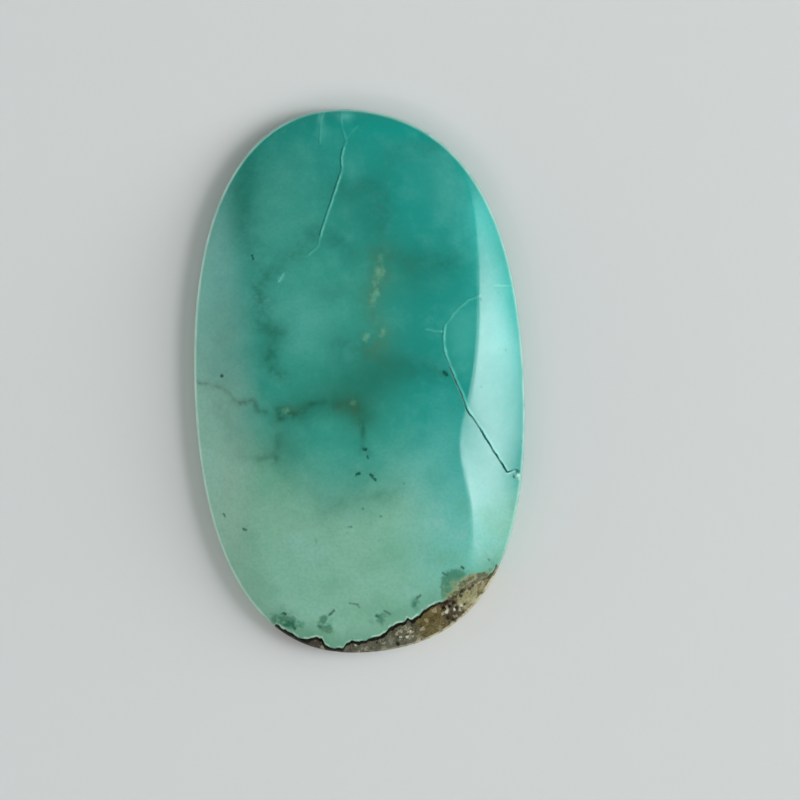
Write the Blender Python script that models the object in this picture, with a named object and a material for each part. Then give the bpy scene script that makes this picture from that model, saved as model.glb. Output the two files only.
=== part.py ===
"""Polished oval cabochon of turquoise, with a sliver of its host rock along one end.

Metres, +Z up. The flat back lies on Z = 0, the long axis runs along Y, and the origin is
at the middle of the back. The rock and the turquoise grew together, so they are one solid.
"""
import math

import bmesh
import bpy
from mathutils import Vector, noise

MM = 0.001

# Overall size
LENGTH = 30.0 * MM
WIDTH = 18.2 * MM
HEIGHT = 4.0 * MM

# Outline: an ellipse with low lobes, each given as the number of times it repeats round
# the rim, how far it stands out as a share of the radius, and the direction of its peak
LOBES = (
    (1, 0.0070, -111),
    (2, 0.0014, -84),
    (3, 0.0076, -15),
    (4, 0.0277, 44),
    (5, 0.0032, 29),
)

# Edge of the stone: a chamfer at the back, a wall that leans in a little, a narrow bevel
CHAMFER = 0.28 * MM
WALL_LEAN = 0.05 * MM
WALL_TOP = 1.22 * MM
BEVEL_WIDTH = 0.16 * MM
DOME_FOOT = 1.24 * MM

# Dome: a wide crown, and a steeper flank that was ground all the way round it
CROWN_RADIUS_ACROSS = 31.5 * MM
CROWN_RADIUS_ALONG = 48.0 * MM
FLANK_SLOPE = 0.78
FLANK_SLOPE_TO_SIDE = 0.09
FLANK_START = 1.15
FLANK_ROUNDING = 0.058 / MM
RIDGE_SOFTNESS = 0.06 * MM

# The flank lies flatter round this direction, where more of the crown was ground away
FLAT_SPOT = math.radians(-28)
FLAT_SPOT_DEPTH = 0.245
FLAT_SPOT_SPREAD = math.radians(27)

# Two shoulders at the far end, where the crown falls away faster to either side
SHOULDER_MIDDLE = -0.35 * MM
SHOULDER_START = 3.6 * MM
SHOULDER_FALL = 0.000225 / MM**3

# Host rock: direction round the rim in degrees, and how far in from the rim it reaches
ROCK_EDGE = (
    (-123.0, 0.22 * MM),
    (-118.0, 0.24 * MM),
    (-113.0, 0.26 * MM),
    (-109.5, 0.58 * MM),
    (-107.0, 0.60 * MM),
    (-103.5, 0.23 * MM),
    (-99.5, 0.34 * MM),
    (-97.5, 0.74 * MM),
    (-92.0, 0.67 * MM),
    (-86.5, 0.97 * MM),
    (-81.5, 1.39 * MM),
    (-76.5, 1.46 * MM),
    (-73.0, 1.36 * MM),
    (-69.5, 1.54 * MM),
    (-62.0, 1.43 * MM),
    (-57.5, 1.06 * MM),
    (-51.0, 1.02 * MM),
    (-48.0, 0.75 * MM),
    (-44.0, 0.28 * MM),
    (-39.0, 0.22 * MM),
)
ROCK_SINK = 0.12 * MM
ROCK_LUMPS = 0.11 * MM
ROCK_LUMP_SIZE = 0.70 * MM
ROCK_PITS = 0.25 * MM
ROCK_PIT_SIZE = 0.45 * MM
ROCK_PIT_PATTERN = Vector((3, 1, 7))
ROCK_WALL_ROUGHNESS = 0.09 * MM
LEDGE_RUN = 0.06 * MM

# Division of the surface: even segments round it, close rings along the rim that part at
# the rock's ledge, and wider ones towards the middle
SEGMENTS = 160
BAND_RINGS = 12
BAND_STEP = 0.27 * MM
LEDGE_RING = 6
INNER_RINGS = 9
RING_RETURN = 6.0 * MM

SHARP_EDGE = math.radians(30)

# The stone's two materials, in the order of its material slots
TURQUOISE_MATERIAL = 0
TURQUOISE_COLOUR = (0.11, 0.40, 0.34, 1.0)
TURQUOISE_ROUGHNESS = 0.18
ROCK_MATERIAL = 1
ROCK_COLOUR = (0.16, 0.13, 0.09, 1.0)
ROCK_ROUGHNESS = 0.55


def clear_scene():
    for old in list(bpy.data.objects):
        bpy.data.objects.remove(old, do_unlink=True)


def lobed_reach(angle):
    """Distance to the rim as a share of the ellipse's own."""
    return 1 + sum(size * math.cos(times * (angle - math.radians(peak))) for times, size, peak in LOBES)


def lobed_rim(angle):
    """A point of the rim, before it is fitted to LENGTH and WIDTH."""
    reach = lobed_reach(angle)
    return Vector((WIDTH / 2 * reach * math.cos(angle), LENGTH / 2 * reach * math.sin(angle), 0))


def rim_fit():
    """The shift and the stretch that give the outline its exact LENGTH and WIDTH."""
    rim = [lobed_rim(math.tau * step / SEGMENTS) for step in range(SEGMENTS)]
    low = Vector((min(p.x for p in rim), min(p.y for p in rim), 0))
    high = Vector((max(p.x for p in rim), max(p.y for p in rim), 0))
    stretch = Vector((WIDTH / (high.x - low.x), LENGTH / (high.y - low.y), 0))
    return (low + high) / 2, stretch


RIM_MIDDLE, RIM_STRETCH = rim_fit()


def rim_depth(angle):
    """Distance from the middle to the rim, measured square to the rim."""
    return lobed_reach(angle) / math.hypot(math.cos(angle) / (WIDTH / 2), math.sin(angle) / (LENGTH / 2))


def rock_width(angle):
    """How far in from the rim the host rock reaches, or 0 where there is none."""
    degrees = math.degrees(angle)
    for (start, width), (end, next_width) in zip(ROCK_EDGE, ROCK_EDGE[1:]):
        if start <= degrees <= end:
            return width + (next_width - width) * (degrees - start) / (end - start)
    return 0.0


def ledge_inset(angle):
    """Inset of the ring that follows the rock's edge. Clear of the rock it keeps its even place."""
    even = BEVEL_WIDTH + LEDGE_RING * BAND_STEP
    width = rock_width(angle)
    if width:
        return width
    first, last = math.radians(ROCK_EDGE[0][0]), math.radians(ROCK_EDGE[-1][0])
    turned = min((first - angle) % math.tau, (angle - last) % math.tau)
    return min(even, ROCK_EDGE[0][1] + RING_RETURN * turned)


def band_inset(ring, angle):
    """Inset of a ring in the band along the rim, where the rings part at the rock's ledge."""
    ledge = ledge_inset(angle)
    band = BEVEL_WIDTH + BAND_RINGS * BAND_STEP
    foot = max(BEVEL_WIDTH, ledge - LEDGE_RUN)
    if ring < LEDGE_RING:
        return BEVEL_WIDTH + (foot - BEVEL_WIDTH) * ring / (LEDGE_RING - 1)
    return ledge + (band - ledge) * (ring - LEDGE_RING) / (BAND_RINGS - LEDGE_RING)


def flank_slope(angle):
    """Average slope of the flank in one direction from the middle."""
    off = (angle - FLAT_SPOT + math.pi) % math.tau - math.pi
    flat = FLAT_SPOT_DEPTH * math.exp(-((off / FLAT_SPOT_SPREAD) ** 2))
    return FLANK_SLOPE + FLANK_SLOPE_TO_SIDE * math.cos(angle) - flat


def soft_minimum(one, other, softness):
    """The lower of two heights, rounded over where they cross."""
    overlap = max(0.0, softness - abs(one - other)) / softness
    return min(one, other) - overlap * overlap * softness / 4


def dome_height(point, inset, angle):
    crown = HEIGHT - point.x**2 / (2 * CROWN_RADIUS_ACROSS) - point.y**2 / (2 * CROWN_RADIUS_ALONG)
    beyond = max(0.0, point.y - SHOULDER_START)
    crown -= SHOULDER_FALL * (point.x - SHOULDER_MIDDLE) ** 2 * beyond**2
    flank = DOME_FOOT + flank_slope(angle) * inset * (FLANK_START - FLANK_ROUNDING * inset)
    return soft_minimum(crown, flank, RIDGE_SOFTNESS)


def rock_sink(point, inset, angle):
    """How far the host rock lies below the polished dome."""
    if inset > rock_width(angle) - LEDGE_RUN / 2:
        return 0.0
    lumps = ROCK_LUMPS * noise.noise(point / ROCK_LUMP_SIZE)
    pits = ROCK_PITS * max(0.0, noise.noise(point / ROCK_PIT_SIZE + ROCK_PIT_PATTERN))
    return max(0.0, ROCK_SINK + lumps + pits)


def spot(angle, inset, height):
    """A point of the stone, from its direction, its inset from the rim and its height."""
    point = lobed_rim(angle) * (1 - inset / rim_depth(angle)) - RIM_MIDDLE
    return Vector((point.x * RIM_STRETCH.x, point.y * RIM_STRETCH.y, height))


def wall_spot(angle, inset, height):
    """A point of the wall, a little rough where it is host rock."""
    point = spot(angle, inset, height)
    if not rock_width(angle):
        return point
    roughness = ROCK_WALL_ROUGHNESS * (0.5 + noise.noise(point / ROCK_LUMP_SIZE))
    return spot(angle, inset + max(0.0, roughness), height)


def dome_spot(ring, angle):
    """A point of the dome on one of its rings, the last of which is nearest the middle."""
    if ring <= BAND_RINGS:
        inset = band_inset(ring, angle)
    else:
        depth = rim_depth(angle)
        band = BEVEL_WIDTH + BAND_RINGS * BAND_STEP
        inset = depth - (depth - band) * (1 - (ring - BAND_RINGS) / INNER_RINGS)
    point = spot(angle, inset, 0)
    point.z = dome_height(point, inset, angle) - rock_sink(point, inset, angle)
    return point


def raised_face(mesh, face, direction, place, may_be_rock):
    """Extrude a face and put each of its corners where place says for its direction."""
    raised = bmesh.ops.extrude_discrete_faces(mesh, faces=[face])["faces"][0]
    for corner in raised.verts:
        corner.co = place(corner[direction])
    for edge in raised.edges:
        on_rock = may_be_rock and all(rock_width(corner[direction]) for corner in edge.verts)
        for side in edge.link_faces:
            side.material_index = ROCK_MATERIAL if on_rock and side is not raised else TURQUOISE_MATERIAL
    return raised


def stone_mesh():
    """A short cylinder whose top face is raised ring by ring into the wall and the dome."""
    mesh = bmesh.new()
    direction = mesh.verts.layers.float.new("direction")
    bmesh.ops.create_cone(
        mesh, cap_ends=True, segments=SEGMENTS, radius1=WIDTH / 2, radius2=WIDTH / 2, depth=HEIGHT
    )
    for corner in mesh.verts:
        angle = math.atan2(corner.co.y, corner.co.x)
        corner[direction] = angle
        at_back = corner.co.z < 0
        corner.co = spot(angle, CHAMFER, 0) if at_back else spot(angle, 0, CHAMFER)
    top = max(mesh.faces, key=lambda face: face.calc_center_median().z)
    for inset, height in ((WALL_LEAN / 2, (CHAMFER + WALL_TOP) / 2), (WALL_LEAN, WALL_TOP)):
        top = raised_face(mesh, top, direction, lambda angle: wall_spot(angle, inset, height), True)
    for ring in range(BAND_RINGS + INNER_RINGS):
        top = raised_face(mesh, top, direction, lambda angle: dome_spot(ring, angle), ring < LEDGE_RING)
    peak = bmesh.ops.poke(mesh, faces=[top])["verts"][0]
    peak.co = Vector((0, 0, HEIGHT))
    mesh.verts.layers.float.remove(direction)
    bmesh.ops.recalc_face_normals(mesh, faces=mesh.faces)
    return mesh


def stone_material(name, colour, roughness):
    material = bpy.data.materials.new(name)
    material.use_nodes = True
    surface = material.node_tree.nodes["Principled BSDF"]
    surface.inputs["Base Color"].default_value = colour
    surface.inputs["Roughness"].default_value = roughness
    surface.inputs["Metallic"].default_value = 0.0
    material.diffuse_color = colour
    return material


def build_cabochon():
    shape = stone_mesh()
    mesh = bpy.data.meshes.new("cabochon")
    shape.to_mesh(mesh)
    shape.free()
    mesh.materials.append(stone_material("polished_turquoise", TURQUOISE_COLOUR, TURQUOISE_ROUGHNESS))
    mesh.materials.append(stone_material("host_rock", ROCK_COLOUR, ROCK_ROUGHNESS))
    mesh.shade_smooth()
    mesh.set_sharp_from_angle(angle=SHARP_EDGE)
    cabochon = bpy.data.objects.new("cabochon", mesh)
    parts = bpy.data.collections.new("turquoise_cabochon")
    bpy.context.scene.collection.children.link(parts)
    parts.objects.link(cabochon)


clear_scene()
build_cabochon()
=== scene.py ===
# Looks of the turquoise cabochon: its polished dome, its fractures and veins, its host rock.
import math

import bmesh
import bpy
import numpy as np
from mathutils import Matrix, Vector, noise


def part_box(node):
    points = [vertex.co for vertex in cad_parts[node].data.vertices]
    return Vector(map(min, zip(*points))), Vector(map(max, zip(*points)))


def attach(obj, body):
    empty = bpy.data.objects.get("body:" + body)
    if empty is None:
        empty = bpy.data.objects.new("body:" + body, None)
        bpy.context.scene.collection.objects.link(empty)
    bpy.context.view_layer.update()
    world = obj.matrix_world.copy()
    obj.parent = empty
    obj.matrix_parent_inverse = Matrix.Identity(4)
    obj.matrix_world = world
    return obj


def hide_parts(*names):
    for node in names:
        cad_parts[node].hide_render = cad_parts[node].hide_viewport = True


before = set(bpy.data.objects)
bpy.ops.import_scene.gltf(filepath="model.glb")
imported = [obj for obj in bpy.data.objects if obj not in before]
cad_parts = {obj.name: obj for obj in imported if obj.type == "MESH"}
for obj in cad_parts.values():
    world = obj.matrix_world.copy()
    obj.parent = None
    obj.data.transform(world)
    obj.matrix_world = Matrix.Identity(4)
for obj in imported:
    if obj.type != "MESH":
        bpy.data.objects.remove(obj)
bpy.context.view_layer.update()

MM = 0.001
SEED_SHIFT = (17.3, 5.1, 9.7)
LOW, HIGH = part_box("cabochon")
WIDTH = (HIGH.x - LOW.x) / MM
LENGTH = (HIGH.y - LOW.y) / MM
HEIGHT = (HIGH.z - LOW.z) / MM

# Lengths are in millimetres, in the stone's own frame. MM turns them into the scene's metres.

# Outline: repeats round the rim, share of the radius, direction of the peak
LOBES = (
    (1, 0.007, -111), (2, 0.0014, -84), (3, 0.0076, -15), (4, 0.0277, 44), (5, 0.0032, 29),
)

# Edge of the stone
CHAMFER = 0.28
WALL_LEAN = 0.05
WALL_TOP = 1.22
BEVEL_WIDTH = 0.16
DOME_FOOT = 1.24

# Dome
CROWN_RADIUS_ACROSS = 31.5
CROWN_RADIUS_ALONG = 48.0
FLANK_SLOPE = 0.78
FLANK_SLOPE_TO_SIDE = 0.09
FLANK_START = 1.15
FLANK_ROUNDING = 0.058
RIDGE_SOFTNESS = 0.06
RIDGE_SOFTNESS_LEFT = 0.42
RIDGE_WEAR_SHIFT = 0.35
RIDGE_WEAR_REACH = 0.85
FLAT_SPOT = math.radians(-28)
FLAT_SPOT_DEPTH = 0.245
FLAT_SPOT_SPREAD = math.radians(27)
SHOULDER_MIDDLE = -0.35
SHOULDER_START = 3.6
SHOULDER_FALL = 0.000225
POLISH_WAVES = 0.004
POLISH_WAVE_SIZE = 3.2

# Host rock: direction round the rim in degrees, and how far in from the rim it reaches
ROCK_EDGE = (
    (-123.0, 0.2), (-119.4, 0.21), (-115.7, 0.27), (-112.5, 0.3), (-111.2, 0.45), (-109.8, 0.6),
    (-107.6, 0.63), (-106.2, 0.37), (-104.2, 0.2), (-102.0, 0.21), (-99.8, 0.34), (-99.0, 0.55),
    (-97.2, 0.73), (-94.5, 0.68), (-93.7, 0.74), (-91.7, 0.7), (-90.2, 0.82), (-86.4, 0.9),
    (-83.8, 1.14), (-80.8, 1.36), (-77.7, 1.38), (-75.5, 1.44), (-73.9, 1.31), (-71.2, 1.38),
    (-69.3, 1.53), (-66.7, 1.52), (-62.8, 1.4), (-60.1, 1.22), (-56.9, 1.14), (-55.2, 1.12),
    (-51.6, 1.04), (-48.5, 0.76), (-46.5, 0.42), (-44.2, 0.21), (-42.0, 0.2),
)
ROCK_EDGE_WIGGLE = 0.09
ROCK_EDGE_WIGGLE_SIZE = 0.24
ROCK_SINK = 0.11
ROCK_LUMPS = 0.10
ROCK_LUMP_SIZE = 0.50
ROCK_GRAINS = 0.06
ROCK_GRAIN_SIZE = 0.19
ROCK_PIT_DEPTH = 0.10
ROCK_GROOVE = 0.08
ROCK_GROOVE_INSET = 0.05
ROCK_GROOVE_WIDTH = 0.045
LEDGE_LIP = 0.02
LEDGE_LIP_WIDTH = 0.04
WALL_ROUGHNESS = 0.05

# Division of the surface. The edge has fine steps, is eased over some of them, and then keeps
# one point in several.
SEGMENTS = 600
ROCK_SEGMENT_DENSITY = 1.3
EDGE_FINE_STEP = 0.015
EDGE_EASING = 9
EDGE_KEPT = 4
EDGE_ENDS = (0.3, 0.15)
BACK_START = 0.12
BACK_GAP = 0.12
OUTER_BAND_ROWS = 20
LEDGE_OFFSETS = (-0.17, -0.12, -0.08, -0.05, -0.025, 0.0, 0.02, 0.05, 0.09)
INNER_BAND_ROWS = 36
BAND_END = 4.2
BAND_EVEN_LEDGE = 1.3
CROWN_ROWS = 28
BACK_ROWS = 6
FINE_CUTS = 2
FINE_REACH = 0.13
SPOT_REACH = 0.4
SPECK_REACH = 0.9
THIN_VEIN = 0.1

# Hairline fractures: how bright the healed edge is, partly painted reflection, how dark the gap beside
# it, and the points along it. The bright edge lies to the right of the dark one.
SEAMS = (
    (0.22, 0.15, ((-0.3, 14.78), (-0.32, 14.35), (-0.29, 13.79), (-0.1, 13.12), (-0.28, 12.69))),
    (0.85, 0.6, ((-0.28, 12.69), (-0.42, 12.15), (-0.39, 11.71), (-0.46, 11.33), (-0.7, 10.79))),
    (0.8, 0.6, ((-0.7, 10.79), (-0.89, 10.25), (-1.14, 9.6), (-1.46, 8.79), (-1.71, 8.08))),
    (0.3, 0.2, ((-1.71, 8.08), (-1.91, 7.38), (-2.48, 6.96))),
    (0.1, 0.0, ((0.02, 13.23), (0.22, 13.45), (0.6, 13.86))),
    (0.25, 0.2, ((-1.28, 14.83), (-1.42, 14.4), (-1.48, 14.12), (-1.53, 13.14))),
    (0.35, 0.15, ((6.75, 4.33), (6.19, 4.14), (5.62, 3.72), (5.16, 3.2), (4.81, 2.77))),
    (0.9, 0.4, ((4.81, 2.77), (4.73, 2.28), (4.7, 1.73), (4.79, 1.18), (5.03, 0.45))),
    (0.95, 0.9, ((5.03, 0.45), (5.27, -0.22), (5.57, -0.95), (5.85, -1.9))),
    (0.55, 1.0, ((5.85, -1.9), (6.52, -2.92), (7.13, -4.05), (7.89, -5.35))),
    (0.3, 0.8, ((7.89, -5.35), (8.17, -5.31), (8.45, -5.26))),
    (0.22, 0.1, ((3.86, 2.54), (4.25, 2.4), (4.63, 2.39))),
    (0.35, 0.05, ((7.71, 4.78), (8.64, 4.74))),
    (0.8, 0.1, ((-3.9, 5.93), (-4.08, 5.66))),
)
SEAM_DEPTH = 0.022
SEAM_GAP_OFFSET = 0.03
SEAM_GAP_WIDTH = 0.03
SEAM_DRIFT = (0.03, 0.018)
SEAM_DRIFT_SIZES = (0.30, 0.11)
VEIN_DRIFT = (0.16, 0.08)
VEIN_DRIFT_SIZES = (0.9, 0.3)

# Smoky veins, one of them a painted shade along the left ridge: half width, strength, points
VEINS_AND_RIDGE_SHADE = (
    (0.3, 0.3, (
        (-2.01, 8.24), (-2.3, 7.75), (-2.9, 7.31), (-3.47, 6.85), (-4.16, 6.3), (-4.77, 5.87),
    )),
    (0.38, 0.36, ((-4.77, 5.87), (-5.15, 5.4), (-5.06, 4.66), (-5.1, 4.01), (-5.1, 3.34))),
    (0.34, 0.36, (
        (-5.1, 3.34), (-4.75, 2.95), (-4.32, 2.7), (-4.57, 2.17), (-4.88, 1.36), (-4.26, 0.52),
    )),
    (0.45, 0.22, ((-2.2, 8.0), (-1.4, 7.84), (-0.43, 7.31), (-0.1, 7.1))),
    (0.5, 0.24, ((-0.27, 10.6), (0.38, 10.66), (1.3, 10.5), (1.7, 9.9), (1.8, 9.2), (1.42, 7.94))),
    (0.5, 0.16, ((4.76, 12.6), (3.11, 12.42), (2.27, 12.02), (1.94, 10.94))),
    (0.4, 0.3, ((1.22, 7.08), (2.21, 6.53), (3.2, 6.2), (3.85, 6.4), (5.35, 6.26))),
    (0.45, 0.26, ((-0.94, 1.95), (0.34, 1.66), (1.19, 1.05), (2.31, 0.71), (4.05, 0.25), (4.75, 0.16))),
    # Painted shade along the left ridge, partly a vein.
    (0.6, 0.18, ((-5.11, 12.05), (-5.92, 10.95), (-5.9, 9.18), (-5.68, 8.16), (-5.42, 6.89))),
    (0.09, 0.36, ((-9.07, 0.37), (-8.2, 0.18), (-7.58, -0.08), (-7.15, -0.32), (-6.8, -0.72))),
    (0.14, 0.5, (
        (-6.8, -0.72), (-6.5, -0.9), (-6.22, -0.88), (-5.84, -0.8), (-5.56, -1.4), (-5.12, -1.53),
    )),
    (0.24, 0.6, ((-4.31, -1.81), (-4.36, -1.43), (-3.91, -1.4), (-3.61, -1.68), (-3.04, -1.5))),
    (0.17, 0.52, ((-3.04, -1.5), (-2.57, -1.12), (-1.95, -1.11))),
    (0.26, 0.6, ((-1.32, -1.26), (-0.94, -1.28), (-0.37, -1.35), (-0.2, -1.63), (0.1, -2.14))),
    (0.15, 0.4, ((0.1, -2.14), (0.08, -2.7), (0.05, -3.3), (-0.04, -3.78))),
    (0.14, 0.44, ((-4.48, -2.81), (-4.49, -3.38), (-4.59, -3.76), (-4.68, -4.23))),
    (0.18, 0.26, ((-4.73, -3.94), (-5.23, -3.95), (-5.62, -4.06))),
    (0.24, 0.16, ((1.94, -6.2), (-1.2, -6.6), (-2.3, -7.3))),
    (0.12, 0.35, ((2.49, -12.17), (2.42, -12.45), (2.57, -12.68))),
    (0.16, 0.45, ((-0.13, -3.62), (0.16, -3.78), (0.34, -4.02))),
)

# Iron stains: half width, strength, points
STAINS = (
    (0.64, 0.5, ((1.45, 6.6), (1.48, 5.81), (1.25, 5.2), (1.06, 4.7))),
    (0.58, 0.46, ((1.06, 4.7), (0.9, 4.19), (1.05, 3.4), (1.51, 2.6), (1.09, 1.66))),
    (0.3, 0.16, ((1.22, 7.08), (2.21, 6.53), (3.2, 6.23))),
    (0.45, 0.26, ((0.49, 2.32), (1.45, 2.52))),
    (0.3, 0.22, ((-4.31, -1.7), (-3.86, -1.4), (-3.3, -1.55))),
    (0.32, 0.34, ((-0.94, -1.3), (-0.37, -1.35), (-0.15, -1.8))),
    (0.8, 0.2, ((-7.2, 3.66), (-7.5, 1.47), (-7.2, -1.4), (-6.6, -3.4))),
)

# Pale gold flecks in the stain: middle and radius
FLECKS = (
    (1.42, 5.87, 0.24), (1.2, 5.35, 0.13), (1.12, 4.62, 0.17), (0.88, 4.1, 0.12), (1.45, 6.57, 0.1),
    (1.45, 2.52, 0.13), (0.49, 2.32, 0.16), (-4.02, -1.45, 0.1), (-0.35, -1.2, 0.09),
)

# Dark specks: start, end and half width
SPECKS = (
    (4.69, 0.2, 4.79, 0.1, 0.1), (-5.5, 7.08, -5.46, 6.9, 0.05), (-7.48, 0.6, -7.48, 0.56, 0.07),
    (0.1, -3.76, 0.24, -3.8, 0.07), (0.29, -4.18, 0.31, -4.24, 0.05), (-0.4, -5.12, -0.2, -5.06, 0.06),
    (0.4, -5.13, 0.67, -5.49, 0.055), (-0.81, -6.21, -0.6, -6.23, 0.03),
    (-4.08, -5.8, -3.94, -6.06, 0.02), (-0.13, -7.0, 0.08, -7.05, 0.035),
    (0.82, -7.45, 0.89, -7.48, 0.04), (-0.94, -8.0, -0.77, -7.95, 0.035),
    (-1.04, -8.28, -0.86, -8.28, 0.02), (0.63, -8.78, 0.83, -8.87, 0.025),
    (0.23, -9.29, 0.39, -9.28, 0.04), (-2.73, -8.58, -2.71, -8.75, 0.02),
    (-7.74, -6.97, -7.69, -7.1, 0.05), (-6.7, -7.83, -6.55, -7.87, 0.05),
    (-1.07, -12.16, -0.59, -12.26, 0.035), (-0.63, -12.33, -0.54, -12.41, 0.03),
    (-2.21, -12.74, -1.94, -12.51, 0.05), (0.36, -12.91, 0.46, -12.96, 0.06),
    (0.8, -12.66, 1.11, -12.87, 0.04), (2.6, -12.05, 2.8, -11.91, 0.05),
    (4.09, -10.73, 4.3, -10.87, 0.05), (5.15, -10.48, 5.22, -10.53, 0.06),
    (6.64, -10.13, 6.69, -10.2, 0.04), (-4.66, -13.23, -4.3, -13.14, 0.085),
    (-4.3, -13.14, -4.17, -13.4, 0.075), (2.16, -5.7, 2.24, -5.74, 0.03),
    (-2.83, -13.34, -2.74, -13.42, 0.05), (8.27, -5.65, 8.28, -5.75, 0.05),
    (8.42, -5.37, 8.52, -5.39, 0.05), (6.85, 4.11, 6.87, 4.09, 0.04), (7.86, 4.44, 7.87, 4.43, 0.025),
    (6.68, -0.67, 6.69, -0.68, 0.03), (8.1, 1.3, 8.11, 1.28, 0.025), (8.8, -3.76, 8.95, -3.76, 0.05),
    (4.98, -11.62, 5.04, -11.9, 0.05), (-4.75, -12.55, -4.62, -12.62, 0.06),
    (-4.5, -13.02, -4.42, -13.2, 0.06), (7.27, -10.36, 7.36, -10.26, 0.06),
)
SPECK_DEPTH = 0.012
SPECK_FULL_WIDTH = 0.06

# Pale grains and dark pits in the rock: middle and radius
ROCK_GRAINS_PALE = (
    (4.19, -12.89, 0.11), (4.24, -12.8, 0.07), (4.64, -12.78, 0.08), (1.63, -14.17, 0.09),
    (1.98, -14.19, 0.09), (2.17, -13.89, 0.08), (2.29, -14.16, 0.06), (-0.85, -14.5, 0.08),
    (5.05, -12.6, 0.07), (8.47, -5.62, 0.1),
)
ROCK_PITS = (
    (4.03, -12.66, 0.1), (4.73, -12.7, 0.1), (4.22, -13.24, 0.11), (4.52, -13.34, 0.09),
    (1.44, -14.56, 0.12), (1.95, -14.08, 0.08), (5.52, -11.68, 0.1), (5.71, -11.53, 0.09),
    (5.02, -12.05, 0.1), (5.22, -12.54, 0.09), (2.07, -14.03, 0.06), (0.3, -14.4, 0.07),
    (4.62, -12.45, 0.12), (4.36, -12.62, 0.08), (2.8, -13.6, 0.07),
)

# Chips at the rim: middle, radius and depth
CHIPS = (
    (9.0, -3.74, 0.12, 0.05), (8.52, -5.57, 0.13, 0.04), (7.5, -10.15, 0.16, 0.05),
    (-8.9, -4.4, 0.14, 0.03), (-4.3, 13.7, 0.14, 0.03),
)

# Clouds in the turquoise, with the painted sheen, highlight and shade noted at each table: middle, reach
# across and along, amount
# Paler turquoise, with painted sheen on the left flank and beside the right ridge.
PALE_CLOUDS_AND_PAINTED_SHEEN = (
    (-8.9, 6.2, 3.1, 4.4, 0.42), (-9.2, -2.5, 2.2, 4.0, 0.22), (-2.7, 3.5, 1.9, 1.9, 0.22),
    (-3.2, 10.0, 2.4, 3.2, 0.08), (5.4, 10.0, 1.2, 3.6, 0.1), (3.4, -4.6, 2.2, 1.4, 0.22),
    (5.0, -3.4, 1.3, 2.2, 0.16), (-4.8, -10.8, 3.4, 3.2, 0.08),
)
# A brighter teal on the right flank, partly a painted highlight.
FLANK_TINT_AND_PAINTED_HIGHLIGHT = (
    (8.5, 3.6, 1.7, 5.2, 0.42),
    (7.2, 8.7, 1.1, 2.0, 0.37),
)
# Darker clouds in the turquoise. The one at -5.6, 9.8 lies along the left ridge and is painted shade.
DARK_CLOUDS_AND_RIDGE_SHADE = (
    (0.5, 9.7, 1.7, 1.6, 0.3), (3.3, 6.0, 2.4, 1.4, 0.3), (3.9, 3.6, 2.2, 2.4, 0.12),
    (0.7, 0.2, 2.3, 1.6, 0.62), (3.0, 0.6, 1.8, 1.2, 0.08), (-1.9, -1.2, 2.1, 1.0, 0.5),
    (0.0, -1.9, 1.2, 1.2, 0.35), (-4.4, -3.3, 1.2, 1.6, 0.38), (-1.2, 4.86, 0.9, 0.6, 0.22),
    (-5.6, 9.8, 0.8, 2.6, 0.3), (-4.6, 2.4, 0.9, 1.2, 0.35), (0.5, -4.5, 1.6, 1.3, 0.07),
    (-1.6, -6.6, 2.6, 1.0, 0.14),
)

# Where the pale turquoise is bluer, and where the teal is greener
BLUE_CLOUDS = (
    (5.6, -6.6, 2.6, 6.0, 0.95),
    (2.8, -9.5, 2.2, 3.2, 0.2),
)
GREEN_CLOUDS = (
    (-4.0, 9.0, 4.2, 5.6, 0.85), (-3.6, 1.6, 3.8, 5.0, 1.0), (0.6, 4.6, 2.2, 2.6, 0.55),
    (-1.6, -3.4, 2.6, 1.7, 0.7), (0.8, -2.6, 2.4, 2.4, 0.7),
)

# Copper-green and brown patches on the turquoise beside the rock
COPPER_PATCHES = (
    (4.55, -11.15, 0.55, 0.6, 1.0), (4.35, -11.9, 0.4, 0.5, 0.95), (5.35, -10.95, 0.6, 0.35, 0.65),
    (-4.95, -12.75, 0.9, 0.5, 0.54), (-4.25, -13.18, 0.85, 0.35, 0.66),
    (-2.48, -13.05, 0.4, 0.42, 0.74), (-2.3, -13.55, 0.5, 0.3, 0.55), (2.5, -12.4, 0.3, 0.45, 0.7),
    (0.6, -13.1, 0.7, 0.4, 0.6), (7.0, -10.35, 0.25, 0.45, 0.55),
)
BROWN_PATCHES = (
    (4.5, -12.4, 0.42, 0.3, 0.95), (4.85, -11.95, 0.38, 0.34, 0.9), (5.15, -11.45, 0.45, 0.3, 0.85),
    (5.7, -11.15, 0.45, 0.26, 0.8), (6.25, -10.98, 0.45, 0.2, 0.75), (6.8, -10.72, 0.3, 0.16, 0.6),
    (7.2, -9.85, 0.45, 0.5, 0.2),
)

# Small lighter patches: beside the fractures at the far end, and inside the right one's arc
BRIGHT_PATCHES = (
    (-0.05, 14.5, 0.35, 0.3, 0.5), (-1.4, 14.45, 0.16, 0.36, 0.45), (-1.36, 13.7, 0.3, 0.42, 0.22),
    (0.05, 11.6, 0.4, 0.8, 0.14), (5.7, 2.1, 0.8, 1.6, 0.22), (-3.98, 5.76, 0.16, 0.12, 0.45),
)

# Line along which the teal turns pale, with the pale side below it and to its left
PALE_LINE = (
    (-9.6, 9.0), (-9.1, 2.6), (-8.4, 0.6), (-7.2, -1.2), (-6.1, -2.4), (-4.8, -4.2), (-3.5, -5.4),
    (-1.9, -6.0), (-0.2, -5.8), (1.4, -5.3), (3.1, -5.4), (4.7, -5.9), (10.0, -7.0),
)
PALE_BEFORE = -3.0
PALE_AFTER = 2.8

# How pale the ground rim is, with a painted highlight along it: direction round the rim and amount
RIM_PALENESS_AND_HIGHLIGHT = (
    (-180, 0.85), (-150, 0.62), (-125, 0.45), (-46, 0.05), (-38, 0.08), (-33, 0.3), (-20, 0.5),
    (0, 0.55), (40, 0.5), (60, 0.5), (90, 0.5), (115, 0.55), (140, 0.75), (160, 0.9), (180, 0.85),
)

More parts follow.
